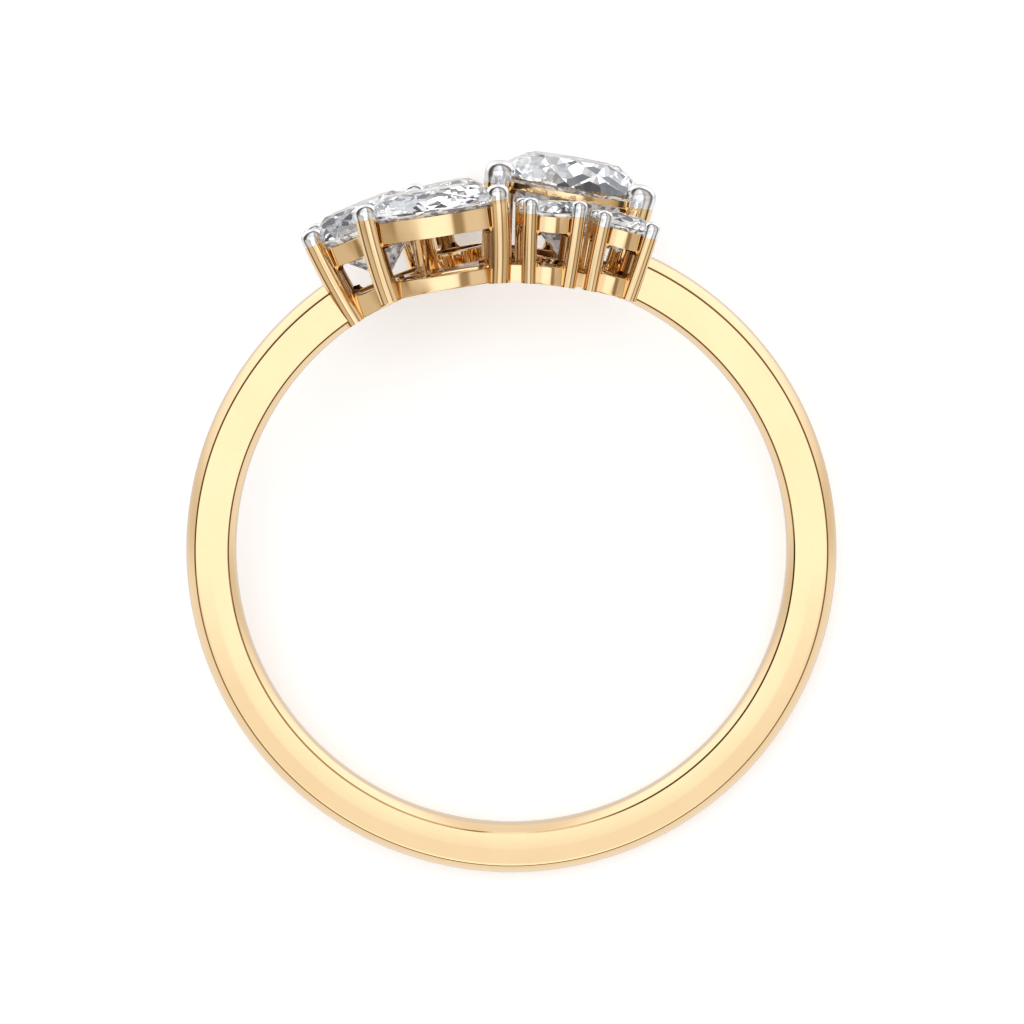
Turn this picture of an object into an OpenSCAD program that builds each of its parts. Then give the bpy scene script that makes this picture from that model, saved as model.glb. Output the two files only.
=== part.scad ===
// Cluster ring: a slim polished band that carries six claw-set cut stones.
// It is worked out upright, about the finger axis: x runs across the finger,
// y from the viewer's side to the back, z from the palm up to the cluster.
// Then it is laid down on its back, on what it rests on.

/* [Band] */
// Inner diameter, for the finger
hole_d = 17; // [16.8:0.1:17.2]
// Width along the finger
band_w = 1.8; // [1.6:0.1:2]
// Thickness from the hole to the crown of the outside
band_t = 1.55; // [1.4:0.05:1.7]
// How far the outside swells past its two edges
crown_rise = 0.26; // [0.15:0.01:0.35]
// Rounding of the two edges at the finger
inner_round = 0.2; // [0.1:0.05:0.3]
// Where the band meets the left head, degrees from the top
left_end = 33.6; // [33:0.2:34.4]
// Where the band meets the right head, degrees from the top
right_end = 20.6; // [20:0.2:21]

/* [Heads] */
// Thickness of the rail under a stone and of the ring at the foot
wall_t = 0.34; // [0.28:0.02:0.4]
// Radial thickness of the gallery that joins the feet
gallery_t = 0.6; // [0.5:0.05:0.7]
// Width of the gallery's bridges
bridge_w = 1.1; // [0.9:0.1:1.3]

/* [Stones] */
// Table width as a share of the stone
table_share = 0.56; // [0.5:0.01:0.62]
// Crown height as a share of the stone's width
crown_share = 0.155; // [0.13:0.005:0.18]
// Clear space between a stone and its setting
stone_gap = 0.03; // [0.02:0.01:0.05]

/* [Hidden] */
$fn = 64;
hole_r = hole_d / 2;
half_w = band_w / 2;
crown_r = hole_r + band_t;
edge_r = crown_r - crown_rise;
// radius and centre of the outside's arc, through both edges and the crown
dome_r = (half_w * half_w + crown_rise * crown_rise) / (2 * crown_rise);
dome_c = crown_r - dome_r;
// girdle height as a share of a stone's half width, and the lower mains' inner end
girdle_share = 0.025;
main_share = 0.22;

// One row for each head. x and back place the middle of the stone's girdle,
// rise is its height over the top of the hole, lean tips the head to the right,
// turn swings it round its own axis. length and depth are the stone's, and angle
// is that of its lower facets. wire is a claw's radius and tip its ball's height
// over the girdle. The rail runs from rail_hi to rail_lo and the foot ring starts
// at foot, all measured from the girdle.
X = 0;
BACK = 1;
RISE = 2;
LEAN = 3;
TURN = 4;
LENGTH = 5;
DEPTH = 6;
ANGLE = 7;
WIRE = 8;
TIP = 9;
RAIL_HI = 10;
RAIL_LO = 11;
FOOT = 12;
CLAWS = 13;
// One row for each claw: its direction round the head, its ball's distance from
// the head's axis, the ball's height over the other balls, and the opening angle.
AT = 0;
OUT = 1;
OVER = 2;
OPEN = 3;
SMALL_CLAWS = [[225, 1.06, 0, 5], [315, 1.06, 0, 5], [135, 1.06, -0.1, 5], [45, 1.06, -0.1, 5]];
OVAL = [-2.39, -2.95, 2.25, -8.6, 0, 4.5, 3.4, 24.5, 0.34, 0.17, -0.17, -0.81, -1.99,
    [[203.8, 2.21, 0, 8.2], [336.2, 2.21, 0, 8.2], [25, 2.14, -0.12, 8.2]]];
LEFT = [-4.46, 0.45, 1.56, -21.9, 0, 4, 4, 41, 0.34, 0.27, -0.19, -0.82, -1.85,
    [[218.7, 2.13, 0, 8], [141.3, 2.13, 0, 8], [38.7, 2.13, 0, 14], [321.3, 2.13, 0, 14]]];
MIDDLE = [1.2, -3.1, 2.16, 4.5, 8.5, 1.95, 1.95, 41, 0.235, 0.21, -0.12, -0.61, -1.63, SMALL_CLAWS];
RIGHT = [3.41, -2.75, 1.72, 14.5, 8.5, 1.95, 1.95, 41, 0.235, 0.13, -0.12, -0.66, -1.53, SMALL_CLAWS];
LARGE = [1.8, 0.4, 2.77, 9.8, 0, 4.9, 4.9, 41, 0.46, 0.05, -0.09, -0.34, -2.2,
    [[210, 2.52, 0, 9], [330, 2.52, 0, 9], [90, 2.52, -0.1, 9]]];
REAR = [-2, 2.6, 2.29, -11, 0, 2.7, 2.7, 41, 0.33, 0.17, -0.15, -0.7, -1.65,
    [[200, 1.6, 0, 8], [345, 1.6, 0, 8], [105, 1.6, -0.12, 8]]];
HEADS = [OVAL, LEFT, MIDDLE, RIGHT, LARGE, REAR];
// heads whose feet a bridge of the gallery joins
BRIDGES = [
    [OVAL, LEFT], [OVAL, LARGE], [OVAL, MIDDLE], [MIDDLE, LARGE], [MIDDLE, RIGHT],
    [RIGHT, LARGE], [LEFT, REAR], [REAR, LARGE],
];
// the claw's foot stands this much outside the foot ring
foot_rim = 0.08;
// how far the feet run on before the finger hole trims them
foot_reach = 1.6;
// an oval's end arcs, as a share of its half length
end_share = 0.58;
// the rail stands in from the stone's girdle by this much
rail_inset = 0.03;
// a claw's ball is this much wider than its wire
ball_grow = 1.04;
// the heads stand this far off the finger hole
relief = 0.03;
// the front feet are trimmed by a flatter curve, up to this far from the middle
front_r = 12.5;
front_top = hole_r - 0.01;
front_from = 1.5;
front_to = 6;
// length of the tools that cut right through, along the finger
through = 20;
// fineness of the large curves
smooth = 180;
band_smooth = 240;

// How the ring lies on a surface, worked out from what touches it.
// A point of a head's own frame, seen in the upright ring:
function turned(p, a) = [p[0] * cos(a) - p[1] * sin(a), p[0] * sin(a) + p[1] * cos(a), p[2]];
function leaned(p, a) = [p[0] * cos(a) + p[2] * sin(a), p[1], p[2] * cos(a) - p[0] * sin(a)];
function middle(h) = [h[X], h[BACK], hole_r + h[RISE]];
function way(h, p) = leaned(turned(p, h[TURN]), h[LEAN]);
function seen(h, p) = middle(h) + way(h, p);
function ball(h, c) = seen(h, [c[OUT] * cos(c[AT]), c[OUT] * sin(c[AT]), h[TIP] + c[OVER]]);
function down(h, c) =
    way(h, [-sin(c[OPEN]) * cos(c[AT]), -sin(c[OPEN]) * sin(c[AT]), -cos(c[OPEN])]);
// where a claw's own axis comes to the finger hole
function foot_point(h, c) =
    let (
        p = ball(h, c),
        d = down(h, c),
        r = hole_r + relief,
        a = d[0] * d[0] + d[2] * d[2],
        b = p[0] * d[0] + p[2] * d[2],
        q = p[0] * p[0] + p[2] * p[2] - r * r
    )
    p + (-b - sqrt(b * b - a * q)) / a * d;

// It rests on the rear head's back foot and on the band's rim, and its weight
// comes down on the line between them: across the finger, and up from its middle.
weight = [0.06, 1.16];
foot = foot_point(REAR, REAR[CLAWS][2]);
foot_r = REAR[WIRE];
foot_plan = [foot[0], foot[2]];
go = weight - foot_plan;
go_b = foot_plan * go;
go_t = (-go_b + sqrt(go_b * go_b - go * go * (foot_plan * foot_plan - edge_r * edge_r))) / (go * go);
rim_way = (foot_plan + go_t * go) / edge_r;
// the steepness m at which a surface touches both the foot and the rim
function steep(m, n) =
    n == 0 ? m
    : steep((foot[1] - half_w + foot_r * sqrt(1 + m * m)) / (edge_r - rim_way * foot_plan), n - 1);
steep_steps = 20;
slope = steep(0, steep_steps) * rim_way;
slope_size = norm([slope[0], 1, slope[1]]);
tip_x = atan(-slope[1]);
tip_y = atan(slope[0] / sqrt(1 + slope[1] * slope[1]));
lift = (foot[0] * slope[0] + foot[1] + foot[2] * slope[1]) / slope_size + foot_r;
// The lying ring reaches up to the large stone's table and down to the crown.
table_mid = seen(LARGE, [0, 0, crown_share * LARGE[DEPTH]]);
table_tilt = tip_x + atan(sin(LARGE[LEAN]));
reach_up = table_mid[2] * cos(tip_x) + table_mid[1] * sin(tip_x)
    + LARGE[LENGTH] / 2 * table_share * sin(table_tilt);
reach_down = dome_c * cos(tip_x) + dome_r;
shift_y = (reach_down - reach_up) / 2;

module laid() {
    translate([0, shift_y, lift])
        rotate([tip_x, tip_y, 0])
        rotate([-90, 0, 0])
        children();
}

module head_frame(h) {
    translate(middle(h))
        rotate([0, h[LEAN], 0])
        rotate([0, 0, h[TURN]])
        children();
}

// A stone's outline, grown by g. An oval is four arcs: two ends and two sides.
module outline(h, g) {
    a = h[LENGTH] / 2;
    b = h[DEPTH] / 2;
    end_r = a * end_share;
    off = a - end_r;
    side_r = (off * off + b * b - end_r * end_r) / (2 * (b - end_r));
    side_c = side_r - b;
    if (a == b) {
        circle(r = a + g);
    } else {
        for (s = [-1, 1]) translate([s * off, 0]) circle(r = end_r + g);
        intersection() {
            translate([0, side_c]) circle(r = side_r + g);
            translate([0, -side_c]) circle(r = side_r + g);
            square([2 * off * side_r / (side_r - end_r), 4 * b], center = true);
        }
    }
}

// Room for the stone: the stone's own shape, a hair larger all round.
module stone_room(h) {
    scale(1 + 2 * stone_gap / h[DEPTH]) brilliant(h);
}

// A claw is a straight round wire with a ball at its end. The claws open
// upwards, and each runs on past the foot to be trimmed at the finger hole.
module claw(h, c) {
    long = (h[TIP] + c[OVER] - h[FOOT] + foot_reach) / cos(c[OPEN]);
    rotate([0, 0, c[AT]]) translate([c[OUT], 0, h[TIP] + c[OVER]]) rotate([0, c[OPEN], 0]) {
        sphere(r = h[WIRE] * ball_grow);
        translate([0, 0, -long]) cylinder(h = long, r = h[WIRE]);
    }
}

// How much smaller than the stone the foot ring is: it follows the claws in.
function claw_drop(h) = (h[TIP] - h[FOOT]) * tan(h[CLAWS][0][OPEN]);
function foot_grow(h) =
    h[CLAWS][0][OUT] - claw_drop(h) - foot_rim
    - (h[LENGTH] == h[DEPTH] ? h[LENGTH] / 2 : h[CLAWS][0][OUT]);

module rail(h) {
    translate([0, 0, h[RAIL_LO]]) linear_extrude(height = h[RAIL_HI] - h[RAIL_LO])
        difference() {
            outline(h, -rail_inset);
            outline(h, -rail_inset - wall_t);
        }
}

module foot_hole(h) {
    over = 0.5;
    translate([0, 0, h[FOOT] - foot_reach - over]) linear_extrude(height = foot_reach + 2 * over)
        outline(h, foot_grow(h) - wall_t);
}

module foot_ring(h) {
    translate([0, 0, h[FOOT] - foot_reach]) linear_extrude(height = foot_reach)
        outline(h, foot_grow(h));
}

function foot_middle(h) = seen(h, [0, 0, h[FOOT]]);
module bridge(pair) {
    p = foot_middle(pair[0]);
    q = foot_middle(pair[1]);
    span = [q[0] - p[0], q[1] - p[1]];
    translate([p[0], p[1], 0])
        rotate([0, 0, atan2(span[1], span[0])])
        translate([0, -bridge_w / 2, 0])
        cube([norm(span), bridge_w, 2 * hole_r]);
}

// The gallery is a curved plate over the finger, cut to bridges between feet.
module gallery() {
    intersection() {
        rotate([90, 0, 0]) cylinder(h = through, r = hole_r + gallery_t, center = true, $fn = smooth);
        union() for (pair = BRIDGES) bridge(pair);
    }
}

module finger_room() {
    rotate([90, 0, 0]) cylinder(h = through, r = hole_r + relief, center = true, $fn = smooth);
}

module front_room() {
    translate([0, -front_from, front_top - front_r])
        rotate([90, 0, 0]) cylinder(h = front_to - front_from, r = front_r, $fn = smooth);
}

module heads() {
    difference() {
        union() {
            for (h = HEADS) head_frame(h) {
                for (c = h[CLAWS]) claw(h, c);
                rail(h);
                foot_ring(h);
            }
            gallery();
        }
        for (h = HEADS) head_frame(h) {
            foot_hole(h);
            stone_room(h);
        }
        finger_room();
        front_room();
    }
}

// The band's section, from the finger hole out to the crown
module band_section() {
    difference() {
        intersection() {
            translate([hole_r, -half_w]) square([band_t, band_w]);
            translate([dome_c, 0]) circle(r = dome_r, $fn = smooth);
        }
        for (s = [-1, 1]) translate([hole_r, s * half_w]) difference() {
            square(2 * inner_round, center = true);
            translate([inner_round, -s * inner_round]) circle(r = inner_round);
        }
    }
}

module band() {
    sweep = 360 - left_end - right_end;
    rotate([90, 0, 0])
        rotate([0, 0, 90 + left_end])
        rotate_extrude(angle = sweep, $fn = band_smooth)
        band_section();
}

module band_and_heads() {
    color("goldenrod") laid() {
        union() {
            band();
            heads();
        }
    }
}

// A brilliant: a table, eight star, eight bezel and sixteen upper facets,
// a thin girdle, sixteen lower facets and eight that meet at the culet.
// The rings of corners are numbered from the table down.
module brilliant(h) {
    r = h[LENGTH] / 2;
    squash = h[DEPTH] / h[LENGTH];
    wide = h[DEPTH] / 2;
    half_g = girdle_share * wide;
    top = half_g + crown_share * h[DEPTH];
    low = -half_g - wide * tan(h[ANGLE]);
    table_r = r * table_share;
    star_r = (r + table_r) / 2;
    main_r = main_share * r;
    star_z = top - (top - half_g) * (star_r * cos(22.5) - table_r) / (r - table_r);
    main_z = low + (-half_g - low) * main_r * cos(22.5) / r;
    pts = concat(
        [for (i = [0:7]) [table_r * cos(45 * i), table_r * sin(45 * i) * squash, top]],
        [for (i = [0:7]) [star_r * cos(45 * i + 22.5), star_r * sin(45 * i + 22.5) * squash, star_z]],
        [for (i = [0:15]) [r * cos(22.5 * i), r * sin(22.5 * i) * squash, half_g]],
        [for (i = [0:15]) [r * cos(22.5 * i), r * sin(22.5 * i) * squash, -half_g]],
        [for (i = [0:7]) [main_r * cos(45 * i + 22.5), main_r * sin(45 * i + 22.5) * squash, main_z]],
        [[0, 0, low]]
    );
    star = 8;
    up = 16;
    dn = 32;
    main = 48;
    culet = 56;
    faces = concat(
        [[for (i = [7:-1:0]) i]],
        [for (i = [0:7]) [i, (i + 1) % 8, star + i]],
        [for (i = [0:7]) [i, star + i, up + 2 * i, star + (i + 7) % 8]],
        [for (i = [0:7]) [star + i, up + 2 * i + 1, up + 2 * i]],
        [for (i = [0:7]) [star + i, up + (2 * i + 2) % 16, up + 2 * i + 1]],
        [for (i = [0:15]) [up + i, up + (i + 1) % 16, dn + (i + 1) % 16, dn + i]],
        [for (i = [0:7]) [main + i, dn + 2 * i, dn + 2 * i + 1]],
        [for (i = [0:7]) [main + i, dn + 2 * i + 1, dn + (2 * i + 2) % 16]],
        [for (i = [0:7]) [main + i, culet, main + (i + 7) % 8, dn + 2 * i]]
    );
    polyhedron(points = pts, faces = faces, convexity = 4);
}

module stone(h) {
    color("aliceblue") laid() head_frame(h) brilliant(h);
}

module oval_stone() { stone(OVAL); }
module back_left_stone() { stone(LEFT); }
module small_middle_stone() { stone(MIDDLE); }
module small_right_stone() { stone(RIGHT); }
module large_round_stone() { stone(LARGE); }
module rear_stone() { stone(REAR); }

band_and_heads();
oval_stone();
back_left_stone();
small_middle_stone();
small_right_stone();
large_round_stone();
rear_stone();
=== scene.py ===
# %% [markdown]
# # A cluster ring, modelled and lit
# The packed CAD model is the fixed frame. It gives the size of the ring, the place of
# every stone and how the ring lies on the table. This lesson models the same ring again
# with the soft edges, bent claws and scalloped girdles that light needs to look real.

# %% Load the frame
import math

import bpy
from mathutils import Matrix, Vector


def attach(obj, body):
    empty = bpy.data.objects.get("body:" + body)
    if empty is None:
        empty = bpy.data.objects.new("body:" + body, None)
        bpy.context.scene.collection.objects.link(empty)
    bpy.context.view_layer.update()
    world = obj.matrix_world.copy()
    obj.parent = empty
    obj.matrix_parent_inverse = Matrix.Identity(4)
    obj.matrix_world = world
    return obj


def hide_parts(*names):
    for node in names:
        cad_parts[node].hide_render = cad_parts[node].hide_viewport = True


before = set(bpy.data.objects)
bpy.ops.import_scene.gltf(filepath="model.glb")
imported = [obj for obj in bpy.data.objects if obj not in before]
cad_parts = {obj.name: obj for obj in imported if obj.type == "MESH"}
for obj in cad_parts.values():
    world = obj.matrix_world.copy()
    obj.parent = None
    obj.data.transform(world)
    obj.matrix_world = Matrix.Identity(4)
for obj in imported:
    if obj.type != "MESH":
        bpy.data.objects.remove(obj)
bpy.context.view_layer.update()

print("frame nodes:", sorted(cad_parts))

# %% [markdown]
# ## The frame's own numbers
# A ring is easiest to model upright: x across the finger, y away from the viewer, z up to
# the cluster, in millimetres. At the end each piece is laid down by one matrix, the same
# that lays the CAD down, so every piece lands where its solid is.

# %% Sizes, in millimetres and degrees
HOLE_R = 8.5
BAND_HALF = 0.9
CROWN_R = 10.05
BAND_ENDS = (33.6, 20.6)
WALL = 0.34
RELIEF = 0.03
MM = 0.001

LIE_SHIFT = (0, -1.2184, 2.5944)
LIE_ROLL = 2.92677
LIE_TILT = 9.61719
LAID = (
    Matrix.Translation(LIE_SHIFT)
    @ Matrix.Rotation(math.radians(LIE_ROLL), 4, "Y")
    @ Matrix.Rotation(math.radians(LIE_TILT), 4, "X")
    @ Matrix.Rotation(math.radians(-90), 4, "X")
)
print("the ring's centre lies at", [round(v, 3) for v in LAID.translation])

# %% [markdown]
# ## The heads as a table
# A head is what holds one stone. Six heads could be six pieces of code, but they differ
# only in numbers, so each is a row. It says where the head stands, how it leans and
# turns, the size of its stone and the angle of the stone's lower facets, how thick the
# claws' wire is, the heights of tips, rail and foot, how far down the tips are white, and
# how much the claws bend. Each claw says where it stands round the head, how far out, how
# far above the head's own tip height, and how many degrees it opens.

# %% The table of heads
HEAD_COLUMNS = ("x", "back", "rise", "lean", "turn", "length", "depth", "angle", "wire",
                "tip", "rail_hi", "rail_lo", "foot", "white", "bend", "claws")
CLAW_COLUMNS = ("at", "out", "over", "open")
SMALL_CLAWS = [(225, 1.06, 0, 5), (315, 1.06, 0, 5), (135, 1.06, -0.1, 5), (45, 1.06, -0.1, 5)]
HEAD_ROWS = {
    "oval": (-2.39, -2.95, 2.25, -8.6, 0, 4.5, 3.4, 24.5, 0.34,
             0.17, -0.17, -0.81, -1.99, 0.17, 9,
             [(203.8, 2.21, 0, 8.2), (336.2, 2.21, 0, 8.2), (25, 2.14, -0.12, 8.2)]),
    "back_left": (-4.46, 0.45, 1.56, -21.9, 0, 4, 4, 41, 0.34,
                  0.27, -0.19, -0.82, -1.85, 0.2, 9,
                  [(218.7, 2.13, 0, 8), (141.3, 2.13, 0, 8),
                   (38.7, 2.13, 0, 14), (321.3, 2.13, 0, 14)]),
    "small_middle": (1.2, -3.1, 2.16, 4.5, 8.5, 1.95, 1.95, 41, 0.235,
                     0.21, -0.12, -0.61, -1.63, 0.28, 3, SMALL_CLAWS),
    "small_right": (3.41, -2.75, 1.72, 14.5, 8.5, 1.95, 1.95, 41, 0.235,
                    0.13, -0.12, -0.66, -1.53, 0.28, 3, SMALL_CLAWS),
    "large_round": (1.8, 0.4, 2.77, 9.8, 0, 4.9, 4.9, 41, 0.46,
                    0.05, -0.09, -0.34, -2.2, 0.31, 6,
                    [(210, 2.52, 0, 9), (330, 2.52, 0, 9), (90, 2.52, -0.1, 9)]),
    "rear": (-2, 2.6, 2.29, -11, 0, 2.7, 2.7, 41, 0.33,
             0.17, -0.15, -0.7, -1.65, 0.2, 6,
             [(200, 1.6, 0, 8), (345, 1.6, 0, 8), (105, 1.6, -0.12, 8)]),
}
HEADS = {name: dict(zip(HEAD_COLUMNS, row)) for name, row in HEAD_ROWS.items()}
for head in HEADS.values():
    head["claws"] = [dict(zip(CLAW_COLUMNS, claw)) for claw in head["claws"]]
    head["place"] = (
        Matrix.Translation((head["x"], head["back"], HOLE_R + head["rise"]))
        @ Matrix.Rotation(math.radians(head["lean"]), 4, "Y")
        @ Matrix.Rotation(math.radians(head["turn"]), 4, "Z")
    )
print("heads:", {name: len(head["claws"]) for name, head in HEADS.items()}, "claws each")

# %% [markdown]
# ## Small helpers
# Operators act on whatever is selected, so every step starts from nothing selected and
# picks its object, and its points, in code. Shapes that aren't a plain primitive start as
# a circle of as many points as they have corners, and each point is put in its place.

# %% Selecting
def select_none():
    bpy.ops.object.select_all(action="DESELECT")


def pick(obj):
    """Nothing but this object is selected and active, in object mode."""
    if bpy.context.object and bpy.context.object.mode != "OBJECT":
        bpy.ops.object.mode_set(mode="OBJECT")
    select_none()
    obj.select_set(True)
    bpy.context.view_layer.objects.active = obj


def edit_all(obj):
    """Into edit mode with every point selected."""
    pick(obj)
    bpy.ops.object.mode_set(mode="EDIT")
    bpy.ops.mesh.select_all(action="SELECT")


def face_outward():
    """Turns every face outward and leaves edit mode."""
    bpy.ops.mesh.select_all(action="SELECT")
    bpy.ops.mesh.normals_make_consistent(inside=False)
    bpy.ops.object.mode_set(mode="OBJECT")


# %% Making, copying, softening and joining
BEVEL_FROM = 30


def added(name):
    """The object that an operator has just made, renamed."""
    obj = bpy.context.object
    obj.name = obj.data.name = name
    return obj


def point_loop(name, places):
    """A closed line with one point at each place."""
    select_none()
    bpy.ops.mesh.primitive_circle_add(vertices=len(places), radius=1, fill_type="NOTHING")
    obj = added(name)
    for point, place in zip(obj.data.vertices, places):
        point.co = place
    return obj


def own_copy(pattern):
    """A copy with a mesh of its own, so that it can be shaped by itself."""
    obj = pattern.copy()
    obj.data = pattern.data.copy()
    bpy.context.scene.collection.objects.link(obj)
    return obj


def bevelled(obj, width, segments):
    """Rounds the edges that turn by more than BEVEL_FROM degrees."""
    pick(obj)
    soft = obj.modifiers.new("soft_edges", "BEVEL")
    soft.width, soft.segments = width, segments
    soft.limit_method, soft.angle_limit = "ANGLE", math.radians(BEVEL_FROM)
    bpy.ops.object.modifier_apply(modifier=soft.name)
    return obj


def joined(name, objects):
    pick(objects[0])
    for obj in objects[1:]:
        obj.select_set(True)
    bpy.ops.object.join()
    return added(name)


print("edges soften where they turn by more than", BEVEL_FROM, "degrees")

# %% [markdown]
# ## Finishing a piece
# Every finished piece goes through the same last step. Its faces are shaded smooth, but
# edges that turn sharply stay sharp, and large flat faces are kept flat by weighted
# normals. Then its points are laid down and scaled to metres, so that the object itself
# stays at the origin, and the piece is hung on the ring's one body.

# %% The last step of every piece
SMOOTH_TO = 40


def finish_piece(obj, smooth_angle, *materials):
    """Smooth shading with flat faces kept flat, then laid down, in metres."""
    pick(obj)
    if smooth_angle:
        bpy.ops.object.shade_smooth_by_angle(angle=math.radians(smooth_angle))
        even = obj.modifiers.new("flat_faces_stay_flat", "WEIGHTED_NORMAL")
        even.keep_sharp = True
        bpy.ops.object.modifier_apply(modifier=even.name)
    obj.data.transform(Matrix.Scale(MM, 4) @ LAID)
    for material in materials:
        obj.data.materials.append(material)
    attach(obj, "root")
    print(f"{obj.name}: {len(obj.data.vertices)} points, {len(obj.data.polygons)} faces")


print("edges stay sharp where they turn by more than", SMOOTH_TO, "degrees")

# %% [markdown]
# ## Shader maths in plain expressions
# One small class wraps a node's output, so that `1 - mask * 0.5` adds the Math nodes for
# itself. Every other node comes from `add`, which takes its type, its settings, what goes
# into its sockets and the output that is wanted.

# %% A wrapped socket
class Wire:
    """A node's output that plain maths can be done with."""

    def __init__(self, graph, socket):
        self.graph, self.socket = graph, socket

    def maths(self, operation, *others):
        return self.graph.add("ShaderNodeMath", {"operation": operation},
                              dict(enumerate((self, *others))))

    def __add__(self, other):
        return self.maths("ADD", other)

    def __mul__(self, other):
        return self.maths("MULTIPLY", other)

    __radd__, __rmul__ = __add__, __mul__

    def __sub__(self, other):
        return self.maths("SUBTRACT", other)

    def __rsub__(self, other):
        return self.graph.add("ShaderNodeMath", {"operation": "SUBTRACT"}, {0: other, 1: self})

    def __truediv__(self, other):
        return self.maths("DIVIDE", other)

    def size(self):
        return self.maths("ABSOLUTE")

    def bigger(self, other):
        return self.maths("MAXIMUM", other)

    def ramp(self, low, high):
        """0 below low, 1 above high, smooth between."""
        return self.graph.add("ShaderNodeMapRange", {"interpolation_type": "SMOOTHSTEP"},
                              {"Value": self, "From Min": low, "From Max": high})

    def between(self, rise, fall):
        """1 between two soft edges and 0 beyond them."""
        return self.ramp(*rise) * (1 - self.ramp(*fall))


print("a wire knows:", [name for name in vars(Wire) if not name.startswith("_")])


# %% A node tree
class Graph:
    """A node tree, with short ways to add what this ring needs."""

    def __init__(self, tree):
        self.tree = tree
        tree.nodes.clear()

    def put(self, value, socket):
        """Links a wire to a socket, or sets the socket to a plain value."""
        if isinstance(value, Wire):
            self.tree.links.new(value.socket, socket)
        else:
            socket.default_value = value

    def add(self, kind, settings=None, inputs=None, output=0):
        node = self.tree.nodes.new(kind)
        for key, value in (settings or {}).items():
            setattr(node, key, value)
        for key, value in (inputs or {}).items():
            self.put(value, node.inputs[key])
        return Wire(self, node.outputs[output]) if len(node.outputs) else None

    def where(self, output="Object"):
        return self.add("ShaderNodeTexCoord", output=output)

    def noise(self, place, scale, detail):
        return self.add("ShaderNodeTexNoise", None,
                        {"Vector": place, "Scale": scale, "Detail": detail})

    def cells(self, place, scale):
        """Space broken up into cells, each with a colour of its own."""
        return self.add("ShaderNodeTexVoronoi", None, {"Vector": place, "Scale": scale},
                        output="Color")

    def channel(self, colour, name):
        return self.add("ShaderNodeSeparateColor", None, {0: colour}, output=name)

    def vector(self, operation, inputs, output="Vector"):
        return self.add("ShaderNodeVectorMath", {"operation": operation}, inputs, output)

    def mixed(self, factor, first, second):
        """One colour turning into another."""
        node = self.tree.nodes.new("ShaderNodeMix")
        node.data_type = "RGBA"
        for index, value in ((0, factor), (6, first), (7, second)):
            self.put(value, node.inputs[index])
        return Wire(self, node.outputs[2])

    def principled(self, inputs):
        return self.add("ShaderNodeBsdfPrincipled", None, inputs)


def new_graph(name):
    material = bpy.data.materials.new(name)
    material.use_nodes = True
    return material, Graph(material.node_tree)


print("a graph knows:", [name for name in vars(Graph) if not name.startswith("_")])

# %% [markdown]
# ## Polished metals
# Polished gold has no paint: its colour is the colour of what it reflects. One flat value
# for each setting would do, but it looks like a computer's gold. A real polish leaves a
# faint unevenness, so two noises, one broad and one fine, stir the roughness, the tint
# and a very low bump. The claw tips are plated white. The walls that face into a head are
# a dark brown gold, which is painted shade for the deep inside of the heads.

# %% Gold, white plating and a gold with painted shade
BROAD_MARKS, BROAD_DETAIL = 420.0, 3.0
FINE_MARKS, FINE_DETAIL = 5200.0, 4.0
FINE_SHARE = 0.6
BUMP_HEIGHT = 0.02 * MM


def polished(name, colour, tone, roughness, spread, lift):
    """Between two close colours, rougher by up to spread, with a bump of strength lift."""
    material, g = new_graph(name)
    broad = g.noise(g.where(), BROAD_MARKS, BROAD_DETAIL)
    fine = g.noise(g.where(), FINE_MARKS, FINE_DETAIL)
    marks = fine * FINE_SHARE + broad * (1 - FINE_SHARE)
    bump = g.add("ShaderNodeBump", None,
                 {"Strength": lift, "Distance": BUMP_HEIGHT, "Height": marks})
    shader = g.principled({
        "Base Color": g.mixed(broad.ramp(0.35, 0.65), colour, tone),
        "Metallic": 1.0,
        "Roughness": roughness + fine.ramp(0.3, 0.7) * spread,
        "Normal": bump,
    })
    g.add("ShaderNodeOutputMaterial", None, {"Surface": shader})
    return material


gold = polished("polished_gold", (0.95, 0.68, 0.375, 1), (0.935, 0.66, 0.355, 1),
                roughness=0.045, spread=0.035, lift=0.04)
white_metal = polished("white_plating", (0.93, 0.935, 0.95, 1), (0.9, 0.905, 0.92, 1),
                       roughness=0.17, spread=0.05, lift=0.04)
# painted shade: a dark brown gold for the walls deep inside the heads
painted_shade_gold = polished("painted_shade_gold", (0.44, 0.25, 0.1, 1), (0.36, 0.2, 0.08, 1),
                      roughness=0.12, spread=0.06, lift=0.08)
print("metals:", gold.name, white_metal.name, painted_shade_gold.name)

# %% [markdown]
# ## Cut stone
# A cut stone bends light in through its upper facets, and its lower facets throw it back
# up. Plain glass would need very long light paths to show that. Here the upper facets are
# clear and bend light, and the lower ones are mirrors, cut up into many small cells with
# a grey and a tilt of their own, as the eye finds them in a real stone. The greys are
# painted reflections, and the facets also glow a little, which is painted sparkle.

# %% Upper facets, clear, with a painted sparkle
FLASH_STEPS = 23.0
CLOUD_MARKS = 900.0
BLACK, WHITE = (0, 0, 0, 1), (1, 1, 1, 1)


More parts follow.
